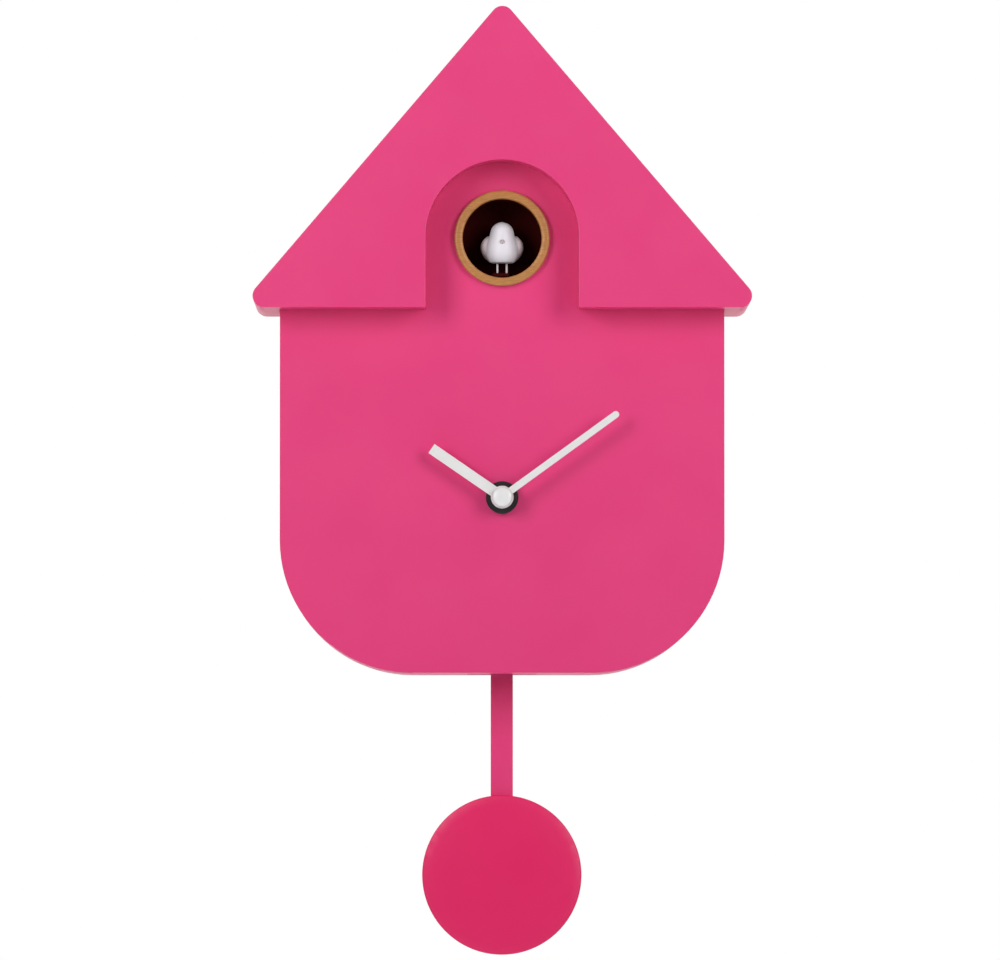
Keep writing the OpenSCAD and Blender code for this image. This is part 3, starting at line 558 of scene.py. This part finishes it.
def make_ring():
    """Turned ring: crowned face, rounded rim and a spigot that enters the front."""
    low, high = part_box("bird_ring")
    centre = Vector(((low.x + high.x) / 2, low.y, (low.z + high.z) / 2))
    outer = (high.x - low.x) / 2
    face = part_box("body_shell")[0].y
    flange, depth = face - low.y - 0.02 * MM, high.y - low.y
    inner = min(math.hypot(p.x - centre.x, p.z - centre.z) for p in islands("bird_ring")[0][2])
    width = outer - inner
    crown = 1.0 * MM
    steps = 14
    profile = [(inner + width * (0.5 - 0.5 * math.cos(math.pi * i / steps)),
                crown * (1 - math.sin(math.pi * i / steps) ** 0.7)) for i in range(steps + 1)]
    rim = [(outer, flange - 0.3 * MM), (outer - 0.3 * MM, flange)]
    spigot = [(inner + 1.85 * MM, flange), (inner + 1.85 * MM, depth - 0.3 * MM),
              (inner + 1.55 * MM, depth), (inner, depth)]
    bm = bmesh.new()
    lathe(bm, centre, Y, profile + rim + spigot, 128, closed=True)
    finish_piece("turned_bird_ring", bm, "housing", "ring_gold", "bird_ring")


BIRD_SIDES = 32
# Height up the bird, half width, front and back reach, each as a share of its own size
BIRD_LOOPS = [(0.0, 0.66, 0.66, 0.60), (0.02, 0.76, 0.78, 0.74), (0.12, 0.93, 0.93, 0.94),
              (0.25, 1.0, 1.0, 1.0), (0.40, 0.98, 0.99, 0.84), (0.55, 0.88, 0.95, 0.62),
              (0.68, 0.76, 0.92, 0.52), (0.80, 0.72, 0.90, 0.48), (0.90, 0.58, 0.75, 0.38),
              (0.97, 0.33, 0.45, 0.20), (1.0, 0.0, 0.0, 0.0)]


def make_bird_body():
    """Belly, head and stub tail as one soft moulding."""
    low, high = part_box("bird_body")
    half, tall = (high.x - low.x) / 2, high.z - low.z
    middle_y = low.y + half * 1.02
    front, back = middle_y - low.y, high.y - middle_y
    bm = bmesh.new()
    loops = []
    for share, wide, fore, aft in BIRD_LOOPS:
        z = low.z + tall * share
        if wide == 0:
            loops.append([bm.verts.new(Vector((0, middle_y - 0.5 * MM, z)))])
            continue
        ring = []
        for k in range(BIRD_SIDES):
            a = math.tau * k / BIRD_SIDES
            reach = fore * front if math.cos(a) > 0 else aft * half
            # the tail is a narrow ridge low on the back
            ridge = max(0.0, 1 - abs(share - 0.25) / 0.22)
            tail = max(0.0, -math.cos(a)) ** 9 * (back - half) * ridge
            y = middle_y - reach * math.cos(a) + tail
            ring.append(bm.verts.new(Vector((wide * half * math.sin(a), y, z))))
        loops.append(ring)
    skin(bm, loops)
    bm.faces.new(loops[0])
    obj = finish_piece("bird_moulding", bm, "bird_set", "bird_white", "bird_body", sharp=60)
    obj.modifiers.new("round", "SUBSURF").render_levels = 2


WING_SIDES = 28
WING_THICK = 2.5 * MM
WING_TALL = 1.14     # height before smoothing, as a share of the CAD wing's
FEATHER_DEPTH = 0.16  # how far the scallops behind go in and out
FEATHERS = 3
# Way down the wing, outer reach, thickness, lean towards the back, and depth, as shares
WING_LOOPS = [(0.0, 0.62, 0.0, -0.10, 0.0), (0.05, 0.73, 0.40, -0.10, 0.30),
              (0.14, 0.86, 0.72, -0.08, 0.55), (0.27, 0.96, 0.95, -0.02, 0.78),
              (0.42, 1.0, 1.0, 0.06, 0.94), (0.58, 0.98, 0.96, 0.14, 1.0),
              (0.73, 0.90, 0.80, 0.24, 0.92), (0.86, 0.77, 0.58, 0.36, 0.66),
              (0.95, 0.64, 0.32, 0.46, 0.34), (1.0, 0.56, 0.0, 0.50, 0.0)]


def make_bird_wings():
    """Two folded wings that hug the belly, with scalloped feather tips behind."""
    bm = bmesh.new()
    for low, high, _ in islands("bird_wings"):
        side = 1 if low.x > 0 else -1
        reach = max(abs(low.x), abs(high.x))
        middle_y, deep = (low.y + high.y) / 2, (high.y - low.y) / 2
        tall = WING_TALL * (high.z - low.z)
        loops = []
        for share, out, fat, lean, depth in WING_LOOPS:
            z = high.z - tall * share
            half = WING_THICK * fat
            centre = Vector((side * (reach * out - half), middle_y + deep * lean, z))
            if fat == 0:
                loops.append([bm.verts.new(centre)])
                continue
            ring = []
            for k in range(WING_SIDES):
                a = math.tau * k / WING_SIDES
                scallop = math.sin(math.tau * FEATHERS * share)
                tip = 1 + FEATHER_DEPTH * max(0.0, math.sin(a)) * scallop
                y = 0.8 * deep * depth * math.sin(a) * tip
                ring.append(bm.verts.new(centre + Vector((side * half * math.cos(a), y, 0))))
            loops.append(ring)
        skin(bm, loops)
    obj = finish_piece("bird_wing_pair", bm, "bird_set", "bird_pink", "bird_wings", sharp=80)
    obj.modifiers.new("round", "SUBSURF").render_levels = 2


# Share of the beak's half width, then of its length; the start is set into the head
BEAK_SHAPE = [(1.0, 0.0), (0.93, 0.22), (0.74, 0.5), (0.46, 0.76), (0.2, 0.94), (0, 1.0)]
BEAK_ROOT = 0.04 * MM


def make_beak():
    """Short blunt beak, turned about its own length."""
    low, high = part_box("bird_beak")
    root = Vector((0, high.y, (low.z + high.z) / 2))
    r, reach = (high.x - low.x) / 2, high.y - low.y
    profile = [(0, -BEAK_ROOT), (r, -BEAK_ROOT)] + [(r * a, reach * b) for a, b in BEAK_SHAPE]
    bm = bmesh.new()
    lathe(bm, root, -Y, profile, 24)
    finish_piece("bird_bill", bm, "bird_set", "beak_grey", "bird_beak", sharp=70)


# ---- Screws, springs, windings and cells ----

def threaded(bm, place, axis, length, core, pitch):
    """Screw thread: a shank whose radius follows a helix, tapering to its tip."""
    sides, rows = 16, max(8, round(length / pitch * 6))
    u, v = basis(axis)
    loops = []
    for i in range(rows + 1):
        along = length * i / rows
        taper = min(1.0, 0.25 + (length - along) / (1.5 * pitch))
        ring = []
        for k in range(sides):
            phase = (along / pitch - k / sides) % 1.0
            r = taper * core * (0.80 + 0.20 * (1 - abs(2 * phase - 1)))
            turned = around(u, v, math.tau * k / sides)
            ring.append(bm.verts.new(place + along * axis + r * turned))
        loops.append(ring)
    skin(bm, loops)
    bm.faces.new(loops[-1])


def screw(bm, seat, axis, length, core, head, tall, sunk=False):
    """Cross-head screw: seat is under its head, axis points out of the head."""
    threaded(bm, seat, -axis, length, core, 0.42 * core + 0.25 * MM)
    if sunk:
        side = [(core * 0.9, 0), (head, 0.9 * tall), (head, tall)]
    else:
        side = [(core * 0.9, 0), (head * 0.96, 0), (head, 0.06 * tall), (head, 0.5 * tall),
                (0.95 * head, 0.8 * tall), (0.86 * head, 0.95 * tall), (0.76 * head, tall)]
    loops = lathe(bm, seat, axis, side, 24)
    # the recess has three corners in each quarter, 30 degrees apart
    u, v = basis(axis)
    arm, neck = 0.62 * head, 0.62 * head * math.tan(math.radians(15))
    corners = []
    for quarter in range(4):
        for x, y in ((arm, -neck), (arm, neck), (neck, neck)):
            a = math.pi / 2 * quarter
            corners.append((x * math.cos(a) - y * math.sin(a), x * math.sin(a) + y * math.cos(a)))
    rim = [bm.verts.new(seat + tall * axis + x * u + y * v) for x, y in corners]
    deep = [bm.verts.new(seat + 0.45 * tall * axis + 0.55 * (x * u + y * v)) for x, y in corners]
    edge = loops[-1]
    for i in range(12):
        # the outer circle starts at 0 degrees and the recess at -15
        a, b, c = (edge[(2 * i - 1 + j) % 24] for j in range(3))
        bm.faces.new((rim[i], rim[(i + 1) % 12], c, b, a))
        bm.faces.new((rim[i], deep[i], deep[(i + 1) % 12], rim[(i + 1) % 12]))
    bm.faces.new(deep)


def make_screws(name, node, body, axis, head_tall, sunk=False):
    """Cross-head screws in place of a node's islands; axis points out of the heads."""
    bm = bmesh.new()
    for low, high, _ in islands(node):
        middle = (low + high) / 2
        top = high.y if axis.y > 0 else low.y
        seat = Vector((middle.x, top, middle.z)) - head_tall * axis
        head = (high.x - low.x) / 2
        core = 0.52 * head
        screw(bm, seat, axis, high.y - low.y - head_tall, core, head, head_tall, sunk)
    finish_piece(name, bm, body, "steel", node, sharp=28)


SPRING_STEPS = 28   # points in one turn of a spring
SPRING_WIRE = 0.4 * MM
SPRING_TURNS = 3.5
SPRING_FOOT, SPRING_TOP = 4.5 * MM, 2.7 * MM   # radii of its first and last turn


def spring_path(place, axis, height):
    """Cone of wire that starts and ends with a flat piece of a turn."""
    u, v = basis(axis)
    path = []
    for i in range(int(SPRING_TURNS * SPRING_STEPS) + 1):
        t = i / (SPRING_TURNS * SPRING_STEPS)
        r = SPRING_FOOT + (SPRING_TOP - SPRING_FOOT) * t
        rise = height * min(1.0, max(0.0, (t - 0.08) / 0.82))
        path.append(place + rise * axis + r * around(u, v, math.tau * SPRING_TURNS * t))
    return path


def make_contacts(name, node, index):
    """Contact plates and their cones of wire; index is the axis that the cells lie along."""
    bm = bmesh.new()
    for low, high, points in islands(node):
        tall = (high - low)[index]
        if tall < 1.0 * MM:
            slab_box(bm, low, high, 0.12 * MM)
            continue
        middle = (low + high) / 2
        reach = [0.0, 0.0]
        for p in points:
            off = p - middle
            at_top = int(off[index] > 0)
            off[index] = 0
            reach[at_top] = max(reach[at_top], off.length)
        up = reach[0] > reach[1]
        axis = (X, Y, Z)[index] * (1 if up else -1)
        foot = middle - (tall / 2 - SPRING_WIRE) * axis
        sweep(bm, spring_path(foot, axis, tall - 2 * SPRING_WIRE), SPRING_WIRE)
    finish_piece(name, bm, "housing", "steel", node, sharp=35)


COIL_WIRE = 0.16 * MM   # how far each turn of a winding stands out


def wound(low, high, turns):
    """Heights and depths of turns of wire laid side by side between two heights."""
    step = (high - low) / turns
    return [(low + step * (i + j / 4), COIL_WIRE * (abs(math.sin(math.pi * j / 4)) - 1))
            for i in range(turns) for j in range(4)] + [(high, -COIL_WIRE)]


def make_stepper_coil():
    """Winding of the step motor, on the stator's bar."""
    low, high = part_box("stepper_coil")
    r = (high.z - low.z) / 2
    centre = Vector((low.x, (low.y + high.y) / 2, (low.z + high.z) / 2))
    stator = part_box("stepper_stator")
    core = (stator[1].y - stator[0].y) / 2 + 0.05 * MM
    hole = 2.15 * MM
    turns = [(r + d, h) for h, d in wound(0, high.x - low.x, 64)]
    bore = [(hole, high.x - low.x), (hole, 0)]
    bm = bmesh.new()
    lathe(bm, centre, X, turns + bore, 40, closed=True)
    # the bore is flattened to the stator's bar
    for vert in bm.verts:
        off = vert.co - centre
        if math.hypot(off.y, off.z) < hole + 0.05 * MM:
            vert.co.y = centre.y + max(-core, min(core, off.y))
            vert.co.z = centre.z + off.z
    finish_piece("stepper_winding", bm, "housing", "copper_wire", "stepper_coil", sharp=75)


def make_drive_coil():
    """Flat winding that drives the pendulum's magnet."""
    low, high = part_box("drive_coil")
    r = (high.x - low.x) / 2
    centre = Vector(((low.x + high.x) / 2, low.y, (low.z + high.z) / 2))
    deep = high.y - low.y
    inner = min(math.hypot(p.x - centre.x, p.z - centre.z) for p in islands("drive_coil")[0][2])
    across = wound(inner, r - 0.2 * MM, 12)
    outside = [(r + d, h) for h, d in wound(0, deep, 9)]
    top = [(x, deep + d) for x, d in reversed(across)]
    bottom = [(x, -d) for x, d in across]
    bm = bmesh.new()
    lathe(bm, centre, Y, outside + top + bottom, 56, closed=True)
    finish_piece("drive_winding", bm, "housing", "copper_wire", "drive_coil", sharp=75)


# Share of the cell's radius, then millimetres from the nearer end
CELL_FOOT = [(0, 0.0), (0.56, 0.0), (0.62, 0.25), (0.86, 0.25), (0.93, 0.05), (0.99, 0.35),
             (1.0, 0.9)]
CELL_TOP = [(1.0, 2.2), (0.98, 1.6), (0.92, 1.32), (0.80, 1.35), (0.70, 1.5), (0.37, 1.45),
            (0.37, 0.25), (0.33, 0.0), (0, 0.0)]


def make_cell(name, island, axis, node):
    """Dry cell with a rolled foot, a wrapped sleeve and a raised nub; axis points to the nub."""
    low, high, _ = island
    index = [i for i in range(3) if abs(axis[i]) > 0.5][0]
    length = (high - low)[index]
    radius = (high - low)[(index + 1) % 3] / 2
    profile = [(radius * r, h * MM) for r, h in CELL_FOOT]
    profile += [(radius * r, length - h * MM) for r, h in CELL_TOP]
    bm = bmesh.new()
    lathe(bm, Vector((0, 0, 0)), Z, profile, 56)
    for face in bm.faces:
        centre = face.calc_center_median()
        bare = math.hypot(centre.x, centre.y) < 0.9 * radius
        face.material_index = 1 if bare else 0
    obj = smooth_object(name, bm, 40, ["cell_jacket", "steel"])
    obj.location = (low + high) / 2 - axis * length / 2
    obj.rotation_mode = "QUATERNION"
    obj.rotation_quaternion = axis.to_track_quat("Z", "Y")
    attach(obj, "housing")
    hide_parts(node)


def nub_is_high(points, high, index, middle, radius):
    """Whether only the narrow nub reaches the island's high end."""
    near = [p for p in points if p[index] > high[index] - 0.5 * MM]
    other = (index + 1) % 3
    return max(abs(p[other] - middle[other]) for p in near) < 0.6 * radius


def make_cells():
    """The three cells of the sound works and the one of the clock."""
    for number, (node, index) in enumerate((("sound_cells", 2), ("clock_cell", 0))):
        for i, island in enumerate(islands(node)):
            low, high, points = island
            radius = (high - low)[(index + 1) % 3] / 2
            up = nub_is_high(points, high, index, (low + high) / 2, radius)
            axis = (X, Y, Z)[index] * (1 if up else -1)
            make_cell(f"dry_cell_{number}_{i}", island, axis, node)


# ---- Sound works, motor and cap ----

def make_speaker_cone():
    """Paper cone with a rolled surround and a domed dust cap."""
    low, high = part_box("speaker_cone")
    centre = Vector(((low.x + high.x) / 2, low.y, (low.z + high.z) / 2))
    r, deep = (high.x - low.x) / 2, high.y - low.y
    thick = 0.4 * MM
    neck, edge, rim = 0.27 * r, 0.80 * r, 0.97 * r
    front = [(neck * math.sin(a), 0.12 * deep + thick + 0.22 * deep * math.cos(a))
             for a in (math.pi / 2 * i / 8 for i in range(9))]
    front[0] = (0, front[0][1])
    front += [(neck + (edge - neck) * i / 8, thick + deep * (0.10 + 0.66 * (i / 8) ** 0.8))
              for i in range(1, 9)]
    roll = (rim - edge) / 2
    front += [(edge + roll * (1 - math.cos(a)), thick + 0.76 * deep + 0.9 * roll * math.sin(a))
              for a in (math.pi * i / 10 for i in range(1, 11))]
    front = [(a, min(b, deep)) for a, b in front]
    back = [(a, b - thick) for a, b in reversed(front)]
    flange = [(r, 0.76 * deep + thick), (r, 0.76 * deep)]
    bm = bmesh.new()
    lathe(bm, centre, Y, front + flange + back, 72)
    finish_piece("speaker_diaphragm", bm, "housing", "speaker_paper", "speaker_cone", sharp=50)


def make_motor():
    """Small can motor: rolled edge, pressed shoulder and a bearing boss."""
    low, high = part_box("cuckoo_motor")
    middle = (low + high) / 2
    r, tall = (high.x - low.x) / 2, high.z - low.z
    boss = 1.5 * MM
    profile = [(0, 0), (1.5 * MM, 0), (2.0 * MM, 0.3 * MM), (2.0 * MM, boss), (r - 1.4 * MM, boss),
               (r - 0.9 * MM, boss), (r - 0.3 * MM, boss + 0.15 * MM), (r, boss + 0.5 * MM),
               (r, boss + 2.4 * MM), (r - 0.25 * MM, boss + 2.6 * MM),
               (r - 0.25 * MM, boss + 3.0 * MM),
               (r, boss + 3.2 * MM), (r, tall - 0.8 * MM), (r - 0.25 * MM, tall - 0.25 * MM),
               (r - 0.8 * MM, tall), (0, tall)]
    bm = bmesh.new()
    lathe(bm, Vector((middle.x, middle.y, low.z)), Z, profile, 56)
    finish_piece("motor_can", bm, "housing", "steel", "cuckoo_motor", sharp=40)


def make_cap():
    """Push-on cap over the hands, with a domed middle and a soft shoulder."""
    low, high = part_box("hand_cap")
    centre = Vector(((low.x + high.x) / 2, high.y, (low.z + high.z) / 2))
    r, tall = (high.x - low.x) / 2, high.y - low.y
    dome, shoulder = 0.985 * r, 0.48   # the dome's radius and where it starts, as a share
    profile = [(0, 0), (r - 0.15 * MM, 0), (r, 0.15 * MM), (r, 0.38 * tall),
               (dome, shoulder * tall)]
    profile += [(dome * math.cos(a), tall * (shoulder + (1 - shoulder) * math.sin(a)))
                for a in (math.pi / 2 * i / 10 for i in range(1, 10))]
    bm = bmesh.new()
    lathe(bm, centre, -Y, profile + [(0, tall)], 56)
    finish_piece("hand_cap_dome", bm, "minute_set", "hand_white", "hand_cap", sharp=50)


CHIP_INSET = 0.9 * MM      # how far the legs reach out of a chip
LEGS_A_SIDE = 4
LEG_HALF = 0.2 * MM        # half a leg's width
LEG_THICK = 0.12 * MM
LEG_ROUND = 0.03 * MM
CAN_TALL = 4 * MM          # anything taller than this on the board is the capacitor


def make_capacitor(low, high):
    """Can capacitor with a crimp near its foot and a shallow dish on top."""
    r, tall = (high.x - low.x) / 2, high.y - low.y
    centre = Vector(((low.x + high.x) / 2, high.y, (low.z + high.z) / 2))
    can = [(0, 0), (r - 0.3 * MM, 0), (r, 0.3 * MM), (r, 0.9 * MM), (r - 0.3 * MM, 1.15 * MM),
           (r, 1.4 * MM), (r, tall - 0.4 * MM), (r - 0.4 * MM, tall),
           (r - 0.8 * MM, tall - 0.15 * MM), (0, tall - 0.15 * MM)]
    bm = bmesh.new()
    lathe(bm, centre, -Y, can, 40)
    finish_piece("board_capacitor", bm, "housing", "magnet_steel", "board_parts")


def make_leg(bm, x, edge, sign, top, foot):
    """Bent leg in three straight pieces: foot, riser and the end in the chip."""
    near = edge + sign * 0.7 * CHIP_INSET
    tip, root = edge + sign * CHIP_INSET, edge + sign * 1.05 * CHIP_INSET
    for y0, y1, z0, z1 in ((foot - LEG_THICK, foot, edge, tip),
                           (top, foot, near - LEG_THICK / 2, near + LEG_THICK / 2),
                           (top, top + LEG_THICK, near, root)):
        slab_box(bm, Vector((x - LEG_HALF, y0, min(z0, z1))),
                 Vector((x + LEG_HALF, y1, max(z0, z1))), LEG_ROUND)


def make_board_parts():
    """Two moulded chips with bent legs, and a can capacitor."""
    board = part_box("sound_board")
    for number, (low, high, _) in enumerate(islands("board_parts")):
        if high.y - low.y > CAN_TALL:
            make_capacitor(low, high)
            continue
        bm = bmesh.new()
        slab_box(bm, Vector((low.x, low.y, low.z + CHIP_INSET)),
                 Vector((high.x, board[0].y - 0.15 * MM, high.z - CHIP_INSET)), 0.15 * MM)
        finish_piece(f"board_chip_{number}", bm, "housing", "black_plastic", "board_parts")
        bm = bmesh.new()
        top = low.y + (high.y - low.y) * 0.45
        for i in range(LEGS_A_SIDE):
            x = low.x + (high.x - low.x) * (i + 0.5) / LEGS_A_SIDE
            make_leg(bm, x, low.z, 1, top, high.y)
            make_leg(bm, x, high.z, -1, top, high.y)
        finish_piece(f"board_chip_legs_{number}", bm, "housing", "steel", "board_parts")


# ---- The whole clock ----

# Edge radius of each CAD node that stays, in millimetres. The movement's two shells stay
# sharp: rounding makes their large faces triangulate wrongly.
EDGES = {
    "roof_shell": 1.0, "body_shell": 0.9, "pendulum_rod": 0.5, "pendulum_bob": 0.9,
    "back_cover": 0.5, "battery_door": 0.3, "bird_tunnel": 0.3, "cuckoo_shelf": 0.4,
    "bird_carriage": 0.12, "bird_legs": 0.1, "rack_pinion": 0.08, "pinion_axle": 0.15,
    "motor_pinion": 0.05, "bush_washer": 0.3, "threaded_bush": 0.2, "dial_nut": 0.3,
    "hour_wheel": 0.06, "hour_hand": 0.12, "minute_arbor": 0.06,
    "minute_hand": 0.12, "motion_wheel": 0.06, "third_wheel": 0.05, "setting_knob": 0.08,
    "stepper_rotor": 0.12, "stepper_stator": 0.12, "quartz_board": 0.08, "pendulum_bracket": 0.3,
    "pivot_pin": 0.15, "pendulum_hanger": 0.3, "pendulum_magnet": 0.3, "battery_tray": 0.4,
    "speaker_basket": 0.3, "speaker_magnet": 0.4, "sound_board": 0.1, "switch_case": 0.12,
    "sound_switch": 0.2,
}

dress_cad()
for node_name, edge_mm in EDGES.items():
    soften(node_name, edge_mm * MM)

make_ring()
make_bird_body()
make_bird_wings()
make_beak()
make_screws("cover_screws_cross", "cover_screws", "housing", Y, 1.4 * MM, sunk=True)
make_screws("roof_screws_cross", "roof_screws", "housing", Y, 2.0 * MM)
make_screws("shelf_screws_cross", "shelf_screws", "housing", Y, 2.0 * MM)
make_screws("bracket_screws_cross", "bracket_screws", "housing", Y, 1.8 * MM)
make_screws("bob_screws_cross", "bob_screws", "pendulum", Y, 1.8 * MM)
make_screws("board_screws_cross", "board_screws", "housing", -Y, 1.3 * MM)
make_contacts("cell_contact_set", "cell_contacts", 2)
make_contacts("clock_contact_set", "clock_contacts", 0)
make_stepper_coil()
make_drive_coil()
make_cells()
make_speaker_cone()
make_motor()
make_cap()
make_board_parts()
